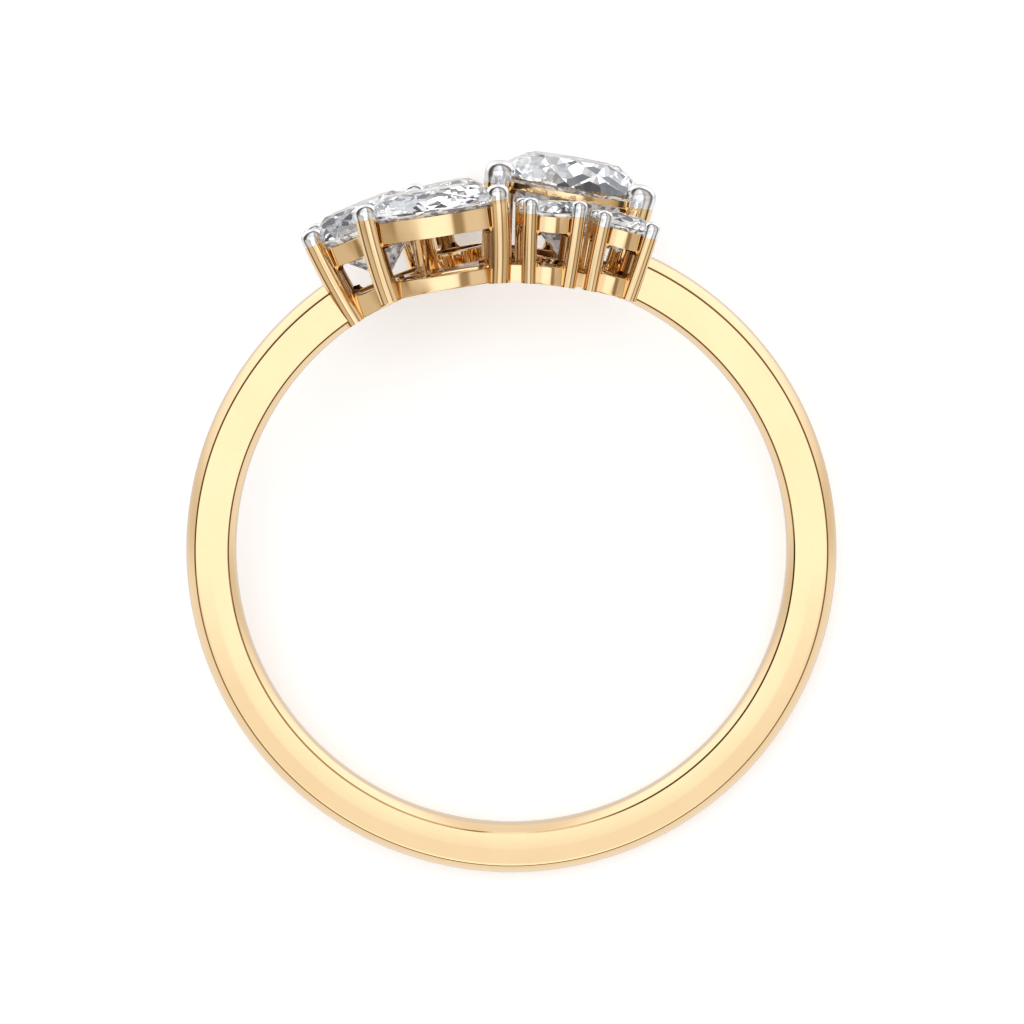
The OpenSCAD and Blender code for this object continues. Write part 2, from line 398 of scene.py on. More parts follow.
def clear_stone(name, index, glow_strength):
    """Bends light, and each facet, told by the way it faces, glows with a painted sparkle of its
    own.
    """
    material, g = new_graph(name)
    cloud = g.noise(g.where(), CLOUD_MARKS, 2.0)
    facet = g.vector("SCALE", {0: g.where("Normal"), "Scale": FLASH_STEPS})
    facet = g.vector("FLOOR", {0: facet})
    # painted sparkle: a glow from black to white, one for each way a facet faces
    flash = g.add("ShaderNodeTexWhiteNoise", {"noise_dimensions": "3D"}, {"Vector": facet})
    shader = g.principled({
        "Base Color": g.mixed(cloud.ramp(0.3, 0.7), WHITE, (0.975, 0.98, 0.985, 1)),
        "Roughness": 0.0,
        "IOR": index,
        "Transmission Weight": 1.0,
        "Emission Color": g.mixed(flash.ramp(0.2, 1.0), BLACK, WHITE),
        "Emission Strength": glow_strength,
    })
    g.add("ShaderNodeOutputMaterial", None, {"Surface": shader})
    return material


print("a facet's flash changes with its direction in", FLASH_STEPS, "steps")

# %% Lower facets, mirrors with painted reflections inside, painted greys outside
DARK_EDGE = 0.04
# painted reflection: the near-black of the darkest cells
DARK_FACET = (0.06, 0.062, 0.068, 1)
OUTER_CELLS = 6.5
OUTER_INDEX, OUTER_GLOW = 2.0, 0.25


def stone_back(name, facets_per_mm, tilt, dark, glow_strength):
    """The lower facets throw all light back up, so they are mirrors. What an eye sees in
    them is cut up by the upper facets into many small ones, each facing its own way and
    each painted its own grey, from near-black to white, as painted reflection that also glows.
    From outside they are bright facets, painted in greys that glow a little."""
    material, g = new_graph(name)
    cell = g.cells(g.where(), facets_per_mm / MM)
    tone, grey = g.channel(cell, "Red"), g.channel(cell, "Green")
    off = g.vector("SUBTRACT", {0: cell, 1: (0.5, 0.5, 0.5)})
    off = g.vector("SCALE", {0: off, "Scale": tilt})
    off = g.vector("ADD", {0: off, 1: g.where("Normal")})
    off = g.vector("NORMALIZE", {0: off})
    # painted reflections: each cell's grey, also used as its glow
    bright = g.mixed(grey.ramp(0.1, 0.7), (0.45, 0.455, 0.47, 1), WHITE)
    painted_reflection = g.mixed(tone.ramp(dark - DARK_EDGE, dark + DARK_EDGE), DARK_FACET, bright)
    inside = g.principled({
        "Base Color": painted_reflection,
        "Metallic": 1.0,
        "Roughness": 0.0,
        "Normal": off,
        "Emission Color": painted_reflection,
        "Emission Strength": glow_strength,
    })
    # painted sparkle from outside: cells of grey that glow a little
    small = g.channel(g.cells(g.where(), OUTER_CELLS / MM), "Red")
    facet = g.mixed(small.ramp(0.2, 0.75), (0.25, 0.255, 0.27, 1), (0.9, 0.905, 0.92, 1))
    outside = g.principled({
        "Base Color": facet,
        "Roughness": 0.02,
        "IOR": OUTER_INDEX,
        "Emission Color": facet,
        "Emission Strength": OUTER_GLOW,
    })
    seen_from_inside = g.add("ShaderNodeNewGeometry", output="Backfacing")
    both = g.add("ShaderNodeMixShader", None, {0: seen_from_inside, 1: outside, 2: inside})
    g.add("ShaderNodeOutputMaterial", None, {"Surface": both})
    return material


# index, painted glow, then facets a millimetre, tilt, dark share and painted glow of the lower
# facets
STONE_LOOKS = {
    "fine": (1.5, 0.08, 3.6, 0.5, 0.14, 0.2),
    "crisp": (1.9, 0.05, 2.05, 0.36, 0.32, 0.5),
    "tiny": (1.7, 0.08, 3.2, 0.4, 0.2, 0.3),
}
looks = {
    kind: (clear_stone("clear_stone_" + kind, index, glow),
           stone_back("stone_back_" + kind, *back))
    for kind, (index, glow, *back) in STONE_LOOKS.items()
}
print("stone looks:", sorted(looks))

# %% [markdown]
# ## The band
# A band is a section swung round the finger. A ring primitive would be quicker, but its
# section is round, and this one is domed outside, flat at the sides and rounded at the
# finger. So the section is drawn as a loop of points, and the spin operator sweeps it
# round, open where the heads stand.

# %% Sweep a section round an axis
MERGE = 0.0001


def swept(name, corners, steps, start=0.0, sweep=360.0):
    """corners are (distance from the axis, height). The axis is z."""
    first = math.radians(start)
    obj = point_loop(name, [(r * math.cos(first), r * math.sin(first), z) for r, z in corners])
    edit_all(obj)
    bpy.ops.mesh.spin(steps=steps, angle=math.radians(sweep), center=(0, 0, 0), axis=(0, 0, -1))
    bpy.ops.mesh.select_all(action="SELECT")
    if sweep < 360:
        bpy.ops.mesh.fill_holes(sides=0)
    else:
        bpy.ops.mesh.remove_doubles(threshold=MERGE)
    face_outward()
    return obj


def arc(centre, radius, first, last, count):
    """Points of an arc in a section, both ends included."""
    angles = [math.radians(first + (last - first) * i / count) for i in range(count + 1)]
    return [(centre[0] + radius * math.cos(a), centre[1] + radius * math.sin(a)) for a in angles]


def eased(corner, steps):
    """A corner of a section drawn out to points, each step (outward, down) from it."""
    return [(corner[0] + out, corner[1] - down) for out, down in steps]


print("a quarter circle in two steps:", arc((0, 0), 1, 0, 90, 2))

# %% The band's section, swung round
CHAMFER = 0.055
BREAK = 0.006
BORE_STRAIGHT = 0.15
BORE_DOME_R = 1.41
BORE_TURN = 30
SHOULDER_R = 9.26
SHOULDER_DROP = 0.018
DOME_START = 9.775
BAND_STEPS, BORE_STEPS, DOME_STEPS = 260, 6, 9
BORE_EASE = ((BREAK, -0.008),)
SIDE_EASE = ((-BREAK, BREAK), (BREAK, 0))
SHOULDER_EASE = ((-0.06, 0), (0, 0.0005), (0.06, 0.003))
EDGE_EASE = ((-0.08, -0.004), (-0.01, 0), (BREAK, BREAK))
edge = (DOME_START - CHAMFER, BAND_HALF - SHOULDER_DROP)
dome_z = edge[1] - CHAMFER
dome_r = (dome_z**2 + (CROWN_R - DOME_START) ** 2) / (2 * (CROWN_R - DOME_START))
dome_lean = math.degrees(math.asin(dome_z / dome_r))
bore_end = (HOLE_R + BORE_DOME_R * (1 - math.cos(math.radians(BORE_TURN))), BAND_HALF - CHAMFER)
bore_centre = (HOLE_R + BORE_DOME_R, BORE_STRAIGHT)
half_section = (
    [(HOLE_R, 0.0)]
    + arc(bore_centre, BORE_DOME_R, 180, 180 - BORE_TURN, BORE_STEPS)
    + eased(bore_end, BORE_EASE)
    + eased((bore_end[0] + CHAMFER, BAND_HALF), SIDE_EASE)
    + eased((SHOULDER_R, BAND_HALF), SHOULDER_EASE)
    + eased(edge, EDGE_EASE)
    + arc((CROWN_R - dome_r, 0), dome_r, dome_lean, 0, DOME_STEPS)
)
print("band section:", [(round(r, 3), round(z, 3)) for r, z in half_section])
section = half_section + [(r, -z) for r, z in reversed(half_section[1:-1])]
band = swept("band", section, BAND_STEPS, 90 + BAND_ENDS[0], 360 - sum(BAND_ENDS))
band.data.transform(Matrix.Rotation(math.radians(90), 4, "X"))
finish_piece(band, SMOOTH_TO, gold)
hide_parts("band_and_heads")

# %% [markdown]
# ## What trims the feet
# The heads stand over the finger, so their feet end on the finger hole, and in front on a
# slightly flatter curve. A boolean cut could trim them, but it leaves ragged edges that
# no bevel takes. Instead `floor_under` gives the height of that surface, and `dropped`
# slides a point along a direction until it meets the surface.

# %% The surface under the heads
FRONT_R = 12.5
FRONT_TOP = HOLE_R - 0.01
FRONT_FROM = 1.5
FRONT_BLEND = 0.3
DROP_STEPS = 40


def floor_under(x, y):
    hole = math.sqrt(max((HOLE_R + RELIEF) ** 2 - x * x, 0.01))
    front = FRONT_TOP - FRONT_R + math.sqrt(FRONT_R**2 - x * x)
    share = min(max((-y - FRONT_FROM + FRONT_BLEND / 2) / FRONT_BLEND, 0), 1)
    return hole + max(front - hole, 0) * share


def dropped(point, way):
    """Steps along way until the point stands on the surface under the heads."""
    for _ in range(DROP_STEPS):
        point = point + way * ((floor_under(point.x, point.y) - point.z) / way.z)
    return point


print("surface under the middle:", round(floor_under(0, 0), 3))

# %% [markdown]
# ## Claws
# A claw is a round wire that bends in towards the foot and ends in a low dome over the
# stone. A bevelled curve would bend as well, but couldn't carry the dome. So one claw is
# modelled straight, in units of its own wire: a circle extruded upward ring by ring, each
# ring resized, the last merged to a point. Each copy has its own mesh, whose points are
# then carried to the bent path of its place, and its foot is dropped on the surface under
# the heads.

# %% One straight claw
CLAW_SIDES = 28
NECK = -0.9
SHAFT = (1, 0.78, 0.64, 0.5, 0.36, 0.22, 0.1, 0)
DOME = ((-0.6, 1.0), (-0.35, 1.02), (-0.1, 1.04), (0.15, 1.03), (0.35, 0.98), (0.53, 0.88),
        (0.68, 0.73), (0.79, 0.53), (0.85, 0.29), (0.865, 0.12))


def straight_claw(sides):
    """Its shaft is one long below the neck, for placed_claw to draw out."""
    select_none()
    bpy.ops.mesh.primitive_circle_add(vertices=sides, radius=1, location=(0, 0, 0))
    claw = added("straight_claw")
    edit_all(claw)
    bpy.ops.transform.translate(value=(0, 0, NECK - SHAFT[0]))
    bpy.ops.mesh.edge_face_add()
    bpy.ops.mesh.select_all(action="SELECT")
    height, width = NECK - SHAFT[0], 1.0
    for z, r in [(NECK - t, 1.0) for t in SHAFT[1:]] + list(DOME):
        bpy.ops.mesh.extrude_region_move(TRANSFORM_OT_translate={"value": (0, 0, z - height)})
        bpy.ops.transform.resize(value=(r / width, r / width, 1), center_override=(0, 0, z))
        height, width = z, r
    bpy.ops.mesh.merge(type="CENTER")
    face_outward()
    return claw


pattern_claw = straight_claw(CLAW_SIDES)
print("straight claw:", len(pattern_claw.data.vertices), "points")


# %% A claw in its place
FOOT_RING = NECK - SHAFT[0] + 0.01


def placed_claw(head, claw):
    """A copy of the straight claw, bent and carried to its place on a head."""
    obj = own_copy(pattern_claw)
    wire, top = head["wire"], head["tip"] + claw["over"]
    open_way, bend = math.radians(claw["open"]), math.radians(head["bend"])
    turn = head["place"] @ Matrix.Rotation(math.radians(claw["at"]), 4, "Z")
    straight = Vector((-math.sin(open_way), 0, -math.cos(open_way)))
    start = turn @ Vector((claw["out"], 0, top))
    foot = dropped(start, turn.to_3x3() @ straight)
    long = (foot - start).length
    first, rate = open_way - bend / 2, bend / long

    def on_path(s):
        """The middle of the wire at a distance s from the tip, then across it and down it."""
        a = first + rate * max(s, 0)
        run = (math.cos(first) - math.cos(a)) / rate
        drop = (math.sin(a) - math.sin(first)) / rate
        middle = Vector((claw["out"] - run, 0, top - drop))
        across = Vector((math.cos(a), 0, -math.sin(a)))
        return middle, across, Vector((-math.sin(a), 0, -math.cos(a)))

    for point in obj.data.vertices:
        x, y, z = point.co
        along = -z * wire if z >= NECK else -NECK * wire + (NECK - z) * (long + NECK * wire)
        middle, across, down = on_path(along)
        place = middle + across * x * wire + Vector((0, y * wire, 0))
        if along < 0:
            place = place + down * along
        place = turn @ place
        if z < FOOT_RING:
            place = dropped(place, turn.to_3x3() @ down)
        point.co = place
    return obj


print("claws to place:", sum(len(head["claws"]) for head in HEADS.values()))

# %% [markdown]
# ## Rails and feet
# Under each stone runs a rail, a narrow upright wall whose inner top edge is cut away as
# a seat for the stone. Between two claws it swells to a bar with soft edges, and near
# each claw a slim groove is left down to a core of dark gold, painted shade, so that the
# groove reads as a dark line. One plain ring would be simpler, but the light would run
# past the claws without a break. The foot is a plain wall that ends on the finger hole.

# %% Seat and rail sections
SEAT_GAP = 0.03
RAIL_INSET = 0.03
GIRDLE_SHARE = 0.025
GROOVE = 0.035
FOOT_RIM = 0.08


def rail_half(head):
    """Half length and half depth of the rail, an oval."""
    return head["length"] / 2 - RAIL_INSET, head["depth"] / 2 - RAIL_INSET


def foot_half(head):
    """Half length and half depth of the foot's wall: it follows the claws in."""
    claw = head["claws"][0]
    drop = (head["tip"] - head["foot"]) * math.tan(math.radians(claw["open"]))
    base = head["depth"] / 2 if head["length"] != head["depth"] else claw["out"]
    out = base - drop - FOOT_RIM
    return out + (head["length"] - head["depth"]) / 2, out


def rail_corners(head, inset):
    """The rail's section with the seat cut away. An inset pulls its outside in."""
    half = head["depth"] / 2
    room = half * (1 + 2 * SEAT_GAP / head["depth"])
    slope = math.tan(math.radians(head["angle"]))
    girdle = GIRDLE_SHARE * room
    out, inn = half - RAIL_INSET - inset, half - RAIL_INSET - WALL
    high, low = head["rail_hi"] - inset, head["rail_lo"] + inset

    def seat_z(r):
        return -girdle - (room - r) * slope

    def seat_r(z):
        return room - (-girdle - z) / slope

    corners = [(out, low)]
    if seat_z(out) > high:
        corners += [(out, high), (seat_r(high), high)]
    else:
        corners += [(out, seat_z(out))]
    if seat_z(inn) > low:
        corners += [(inn, seat_z(inn)), (inn, low)]
    else:
        corners += [(seat_r(low), low)]
    return corners


def crossing(half, claw):
    """Where a claw crosses an oval: the oval's own angle, and millimetres a radian there."""
    long, wide = half
    turn = math.radians(claw["at"])
    angle = math.atan2(math.sin(turn) / wide, math.cos(turn) / long)
    return angle, math.hypot(long * math.sin(angle), wide * math.cos(angle))


def claw_gap(head, claw):
    """The middle and the half width, in degrees, of the gap that a claw needs in a bar."""
    angle, speed = crossing(rail_half(head), claw)
    return math.degrees(angle) % 360, math.degrees((head["wire"] + GROOVE) / speed)


print("oval rail:", [(round(r, 3), round(z, 3)) for r, z in rail_corners(HEADS["oval"], 0)])

# %% The rail and the foot of a head
ROUND_STEPS = 96
CORE_INSET = 0.05
BAR_DEGREES, BAR_STEPS_MIN = 3.5, 4
RAIL_SOFT, FOOT_SOFT = (0.03, 2), (0.05, 3)
FOOT_REACH = 1.2


def rail_pieces(head):
    """A core all the way round, in the dark gold of painted shade, and a gold bar between every
    two claws.
    """
    core = swept("rail_core", rail_corners(head, CORE_INSET), ROUND_STEPS)
    # painted shade: the dark core shows at the bottom of each groove
    core.data.materials.append(painted_shade_gold)
    pieces = [core]
    gaps = sorted(claw_gap(head, claw) for claw in head["claws"])
    for (a, half_a), (b, half_b) in zip(gaps, gaps[1:] + [(gaps[0][0] + 360, gaps[0][1])]):
        sweep = b - half_b - a - half_a
        steps = max(int(sweep / BAR_DEGREES), BAR_STEPS_MIN)
        bar = swept("rail_bar", rail_corners(head, 0), steps, a + half_a, sweep)
        bar.data.materials.append(gold)
        pieces.append(bar)
    long, wide = rail_half(head)
    for piece in pieces:
        piece.data.transform(Matrix.Diagonal((long / wide, 1, 1, 1)))
        piece.data.transform(head["place"])
    return bevelled(joined("rail", pieces), *RAIL_SOFT)


def foot_piece(head):
    long, out = foot_half(head)
    high, low = head["foot"], head["foot"] - FOOT_REACH
    foot = swept("foot", [(out, high), (out, low), (out - WALL, low), (out - WALL, high)],
                 ROUND_STEPS)
    foot.data.transform(head["place"] @ Matrix.Diagonal((long / out, 1, 1, 1)))
    down = head["place"].to_3x3() @ Vector((0, 0, -1))
    back = head["place"].inverted()
    for point in foot.data.vertices:
        if (back @ point.co).z < high - FOOT_REACH / 2:
            point.co = dropped(point.co, down)
    foot.data.materials.append(gold)
    return bevelled(foot, *FOOT_SOFT)


print("bars of about", BAR_DEGREES, "degrees a step")

# %% [markdown]
# ## Window corners
# Between two claws, the rail and the foot frame a small window. Cast or soldered metal
# has no sharp inner corners, so each corner of a window has a small concave fill. A bevel
# can't round it, because the claws and the rail are separate shapes that only touch. One
# fill is drawn and extruded, and its copies are carried to every corner.

# %% One corner and its copies
CORNER_SIZE, CORNER_SHARE = 0.16, 0.065
CORNER_STEPS = 6
CORNER_THICK = 0.26
CORNER_BACK = 0.03
CORNER_BITE = 0.01
CLAW_BITE = 0.015
OVERLAP = 0.04


def corner_fill(size):
    """The concave fill of a window's upper corner: x away from the claw, y outward, z up."""
    outline = [(-OVERLAP, OVERLAP), (size, OVERLAP)]
    for i in range(CORNER_STEPS + 1):
        turn = math.radians(90 * i / CORNER_STEPS)
        outline.append((size - size * math.sin(turn), size * math.cos(turn) - size))
    outline.append((-OVERLAP, -size))
    fill = point_loop("corner_fill", [(x, -CORNER_BACK, z) for x, z in outline])
    edit_all(fill)
    bpy.ops.mesh.edge_face_add()
    bpy.ops.mesh.select_all(action="SELECT")
    bpy.ops.mesh.extrude_region_move(TRANSFORM_OT_translate={"value": (0, -CORNER_THICK, 0)})
    bpy.ops.object.mode_set(mode="OBJECT")
    return fill


def corner_place(half, claw, wire, side, level, up):
    """Carries a fill to one side of a claw, at the rail (up 1) or the foot (up -1)."""
    long, wide = half
    middle, speed = crossing(half, claw)
    a = middle + side * (wire - CLAW_BITE) / speed
    along = side * Vector((-long * math.sin(a), wide * math.cos(a), 0)).normalized()
    outward = Vector((wide * math.cos(a), long * math.sin(a), 0)).normalized()
    axes = Matrix((along, outward, (0, 0, up))).transposed().to_4x4()
    return Matrix.Translation((long * math.cos(a), wide * math.sin(a), level)) @ axes


def corner_pieces(head):
    """The four soft corners of every window between two claws."""
    pattern = corner_fill(min(CORNER_SIZE, CORNER_SHARE * head["depth"]))
    rail_edge = (rail_half(head), head["rail_lo"] + CORNER_BITE, 1)
    foot_edge = (foot_half(head), head["foot"] - CORNER_BITE, -1)
    fills = []
    for half, level, up in (rail_edge, foot_edge):
        for claw in head["claws"]:
            for side in (1, -1):
                fill = own_copy(pattern)
                place = corner_place(half, claw, head["wire"], side, level, up)
                fill.data.transform(head["place"] @ place)
                fills.append(fill)
    bpy.data.objects.remove(pattern)
    corners = joined("corners", fills)
    edit_all(corners)
    face_outward()
    corners.data.materials.append(gold)
    return corners


print("corner fill:", CORNER_SIZE, "mm at most")

# %% [markdown]
# ## Plated tips, and painted shade on inner walls
# On the real ring only the tips of the claws are white. A separate tip would leave a seam
# in the wire, so the claws are cut across by a flat bisect, and the faces above the cut
# take the white plating. In the same way the faces below the stone that look into the
# head take the dark brown gold, painted shade that turns the windows brown.

# %% Claws in two metals, walls in gold and in painted-shade gold
PLATED, PLAIN = 1, 0
CUT_MERGE = 0.00001
WALL_INNER = 0.3
CLAW_INNER = -0.25
STEEPNESS = 0.7


def claw_pieces(head):
    """All the claws of a head, cut across where the white plating starts."""
    claws = joined("claws", [placed_claw(head, claw) for claw in head["claws"]])
    for material in (gold, white_metal, painted_shade_gold):
        claws.data.materials.append(material)
    line = head["place"] @ Vector((0, 0, head["tip"] - head["white"]))
    up = head["place"].to_3x3() @ Vector((0, 0, 1))
    edit_all(claws)
    bpy.ops.mesh.bisect(plane_co=line, plane_no=up, threshold=CUT_MERGE)
    bpy.ops.object.mode_set(mode="OBJECT")
    for face in claws.data.polygons:
        face.material_index = PLATED if (face.center - line).dot(up) > 0 else PLAIN
    return claws


def shade_inner_walls(piece, head, most_outward):
    """Walls below the stone that don't face outward by more than this get the dark gold of
    painted shade.
    """
    # painted shade: walls that look into the head take the dark brown gold
    index = piece.data.materials.find(painted_shade_gold.name)
    back = head["place"].inverted()
    turn = back.to_3x3()
    for face in piece.data.polygons:
        middle, normal = back @ face.center, turn @ face.normal
        outward = Vector((middle.x, middle.y, 0)).normalized().dot(normal)
        below = middle.z < head["rail_hi"]
        if below and outward < most_outward and abs(normal.z) < STEEPNESS:
            face.material_index = index
    return piece


def head_piece(name, head):
    claws = shade_inner_walls(claw_pieces(head), head, CLAW_INNER)
    setting = joined("setting", [rail_pieces(head), foot_piece(head), corner_pieces(head)])
    return joined(name + "_head", [claws, shade_inner_walls(setting, head, WALL_INNER)])


for name, head in HEADS.items():
    piece = head_piece(name, head)
    finish_piece(piece, SMOOTH_TO)
bpy.data.objects.remove(pattern_claw)

# %% [markdown]
# ## The gallery
# Curved bridges join the feet just over the finger. They could be cut from one sheet, but
# separate bridges follow the feet more simply. Each starts as a grid laid between two
# feet; its points rise to the bridge's top, an extrusion drops the underside, and the
# edges are softened. Each bridge is a hair lower than the last, so that no two tops share
# one surface. Their upper sides lie deep in the cluster and get the dark gold of painted shade.

# %% Bridges between the feet
BRIDGES = [("oval", "back_left"), ("oval", "large_round"), ("oval", "small_middle"),
           ("small_middle", "large_round"), ("small_middle", "small_right"),
           ("small_right", "large_round"), ("back_left", "rear"), ("rear", "large_round")]
GALLERY_R = HOLE_R + 0.6
BRIDGE_W = 1.1
BRIDGE_GRID = (16, 4)
BRIDGE_DROP = 0.2
BRIDGE_SINK = 0.006
BRIDGE_SOFT = (0.04, 2)
UPPER_SIDE = 0.3


def bridge(first, second, sink):
    p, q = (head["place"] @ Vector((0, 0, head["foot"])) for head in (first, second))
    way = Vector((q.x - p.x, q.y - p.y, 0))
    select_none()
    long_cuts, wide_cuts = BRIDGE_GRID
    bpy.ops.mesh.primitive_grid_add(x_subdivisions=long_cuts, y_subdivisions=wide_cuts, size=1)
    obj = added("bridge")
    spin = Matrix.Rotation(math.atan2(way.y, way.x), 4, "Z")
    middle = Matrix.Translation(((p.x + q.x) / 2, (p.y + q.y) / 2, 0))
    obj.data.transform(middle @ spin @ Matrix.Diagonal((way.length, BRIDGE_W, 1, 1)))
    for point in obj.data.vertices:
        point.co.z = math.sqrt((GALLERY_R - sink) ** 2 - point.co.x**2)
    tops = len(obj.data.vertices)
    edit_all(obj)
    bpy.ops.mesh.extrude_region_move(TRANSFORM_OT_translate={"value": (0, 0, -BRIDGE_DROP)})
    face_outward()
    for point in obj.data.vertices[tops:]:
        point.co.z = floor_under(point.co.x, point.co.y) + sink
    return bevelled(obj, *BRIDGE_SOFT)


spans = [bridge(HEADS[a], HEADS[b], BRIDGE_SINK * i) for i, (a, b) in enumerate(BRIDGES)]
gallery = joined("gallery", spans)
for material in (gold, painted_shade_gold):
    gallery.data.materials.append(material)
# painted shade: the upper sides take the dark brown gold
for face in gallery.data.polygons:
    face.material_index = 1 if face.normal.z > UPPER_SIDE else 0
finish_piece(gallery, SMOOTH_TO)

# %% [markdown]
# ## The stones
# A brilliant is a round girdle with flat facets above and below it. Cutting a cylinder by
# planes would work too, but all its corners are known: the table's eight, eight star
# points, the girdle's, eight where the lower facets meet, and the culet. So the points
# are put in place and the convex hull operator stretches the facets over them. The girdle
# has many points, each on the facet that cuts it, which makes the small scallops of a
# real girdle.

# %% Facets over a cloud of corners
FACETS = 8
FACET_TURN = 360 / FACETS
HALF_TURN = FACET_TURN / 2
TABLE_SHARE = 0.56
CROWN_RISE = 0.31
MAIN_SHARE = 0.22
GIRDLE_POINTS = 96
FLAT_TO, MERGE_TO = 0.6, 0.3
BACK_FROM = -1.5 * GIRDLE_SHARE


def at(r, degrees, z):
    return Vector((r * math.cos(math.radians(degrees)), r * math.sin(math.radians(degrees)), z))


def facet_height(degrees, edge_z, inner):
    """Height of the facet over or under the girdle, where it cuts the round girdle."""
    place = degrees % FACET_TURN
    a, b = at(1, 0, edge_z), at(1, HALF_TURN, edge_z)
    normal = (b - a).cross(inner - a)
    p = at(1, min(place, FACET_TURN - place), 0)
    return a.z - ((p.x - a.x) * normal.x + (p.y - a.y) * normal.y) / normal.z


def brilliant(name, angle):
    """A stone of half depth 1, its girdle at height 0, its lower facets at an angle."""
    top, low = GIRDLE_SHARE + CROWN_RISE, -GIRDLE_SHARE - math.tan(math.radians(angle))
    star = (1 + TABLE_SHARE) / 2
    lean = math.cos(math.radians(HALF_TURN))
    star_z = top - CROWN_RISE * (star * lean - TABLE_SHARE) / (1 - TABLE_SHARE)
    main_z = low + (-GIRDLE_SHARE - low) * MAIN_SHARE * lean
    corners = []
    for i in range(FACETS):
        turn = FACET_TURN * i
        corners += [at(TABLE_SHARE, turn, top), at(star, turn + HALF_TURN, star_z),
                    at(MAIN_SHARE, turn + HALF_TURN, main_z)]
    upper, lower = at(star, HALF_TURN, star_z), at(MAIN_SHARE, HALF_TURN, main_z)
    for i in range(GIRDLE_POINTS):
        turn = 360 * i / GIRDLE_POINTS
        corners.append(at(1, turn, facet_height(turn, GIRDLE_SHARE, upper)))
        corners.append(at(1, turn, facet_height(turn, -GIRDLE_SHARE, lower)))
    corners.append(Vector((0, 0, low)))
    obj = point_loop(name, corners)
    edit_all(obj)
    bpy.ops.mesh.delete(type="EDGE_FACE")
    bpy.ops.mesh.select_all(action="SELECT")
    bpy.ops.mesh.convex_hull(join_triangles=True, face_threshold=math.radians(FLAT_TO),
                             shape_threshold=math.radians(180))
    bpy.ops.mesh.select_all(action="SELECT")
    bpy.ops.mesh.dissolve_limited(angle_limit=math.radians(MERGE_TO))
    bpy.ops.object.mode_set(mode="OBJECT")
    for face in obj.data.polygons:
        face.material_index = 1 if face.center.z < BACK_FROM else 0
    print(name, "facets:", len(obj.data.polygons))
    return obj


angles = sorted({head["angle"] for head in HEADS.values()})
patterns = {angle: brilliant(f"cut_{angle:.0f}", angle) for angle in angles}

# %% Every stone in its head
NODE_OF = {
    "oval": "oval_stone",
    "back_left": "back_left_stone",
    "small_middle": "small_middle_stone",
    "small_right": "small_right_stone",
    "large_round": "large_round_stone",
    "rear": "rear_stone",
}
LOOK_OF = {"oval": "fine", "back_left": "fine", "rear": "fine", "large_round": "crisp",
           "small_middle": "tiny", "small_right": "tiny"}
for name, head in HEADS.items():
    cut = own_copy(patterns[head["angle"]])
    cut.name = cut.data.name = name + "_brilliant"
    half = head["depth"] / 2
    cut.data.transform(head["place"] @ Matrix.Diagonal((head["length"] / 2, half, half, 1)))
    finish_piece(cut, 0, *looks[LOOK_OF[name]])
    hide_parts(NODE_OF[name])
for pattern in patterns.values():
    bpy.data.objects.remove(pattern)

# %% [markdown]
# ## The table
# The ring lies on a wide pale table. The table shines a little by itself, so that only a
# faint soft shadow shows round the ring. It is left out of reflections, which belong to
# the tent alone.

# %% A pale table
TABLE_SIZE = 0.8
TABLE_GLOW = 0.32
TABLE_MARKS = 30.0


def pale_table():
    select_none()
    bpy.ops.mesh.primitive_plane_add(size=TABLE_SIZE)
    table = added("pale_table")
    material, g = new_graph("pale_table_top")
    cloud = g.noise(g.where(), TABLE_MARKS, 2.0)
    shader = g.principled({
        "Base Color": g.mixed(cloud, (0.93, 0.93, 0.93, 1), (0.95, 0.95, 0.95, 1)),
        "Roughness": 0.6,
        "Specular IOR Level": 0.1,
        "Emission Color": WHITE,
        "Emission Strength": TABLE_GLOW,
    })
    g.add("ShaderNodeOutputMaterial", None, {"Surface": shader})
    table.data.materials.append(material)
    table.visible_glossy = False
    return table


print("table:", pale_table().name, TABLE_SIZE, "m wide")

# %% [markdown]
# ## The light tent
# Small polished things are photographed inside a white tent. A tent of lamps and cards
# would do, but each card would need a lamp of its own, so here the tent is the world
# itself, drawn in the ring's own axes. Its near end is the lower side of the picture and
# its far end the upper. Overhead, which is the viewer's side, it has a bright strip with
# a dark slot on each side, soft walls to the left and the right, a slightly dim wall at
# either end with a dark seam before the far one, and a dark rim low down all round. Below
# the rim it is a little dim, and brighter towards both ends and most in the two far
# corners, but not straight below the ring. Polished metal shows all this as its bright
# middles, soft bands and fine dark edges. The tent's bright parts are cooler than its dim
# ones.

# %% Where the tent's parts lie
CENTRE = LAID.translation * MM
RIGHT = LAID.to_3x3() @ Vector((1, 0, 0))
UP = (LAID.to_3x3() @ Vector((0, 0, 1))).normalized()
AXIS = (LAID.to_3x3() @ Vector((0, -1, 0))).normalized()

# Edges overhead, as slopes from the ring's axis: where each starts and where it is full
LEFT_WALL, LEFT_DIM = (-1.9, -1.0), (-0.7, -0.5)
LEFT_SLOT = ((-0.68, -0.5), (-0.42, -0.3))
STRIP = (0.2, 0.45)
RIGHT_SLOT = ((0.33, 0.46), (0.62, 0.85))
RIGHT_WALL, RIGHT_FAR = (0.6, 0.8), (1.4, 4.0)
NEAR_WALL, FAR_WALL = (-0.165, -0.1), (0.5, 0.6)
SEAM = ((0.44, 0.5), (0.56, 0.64))

# Edges told by direction alone, as parts of a direction of length 1
NEAR_SIDE, NEAR_END = (-0.21, -0.13), (-0.34, -0.26)
HORIZON, RIM = (-0.05, 0.05), (0.1, 0.24)
STRAIGHT_BELOW, BELOW_ENDS = (0.78, 0.98), (0.02, 0.2)
CORNER_ALONG, CORNER_ACROSS = (0.1, 0.5), (0.1, 0.4)

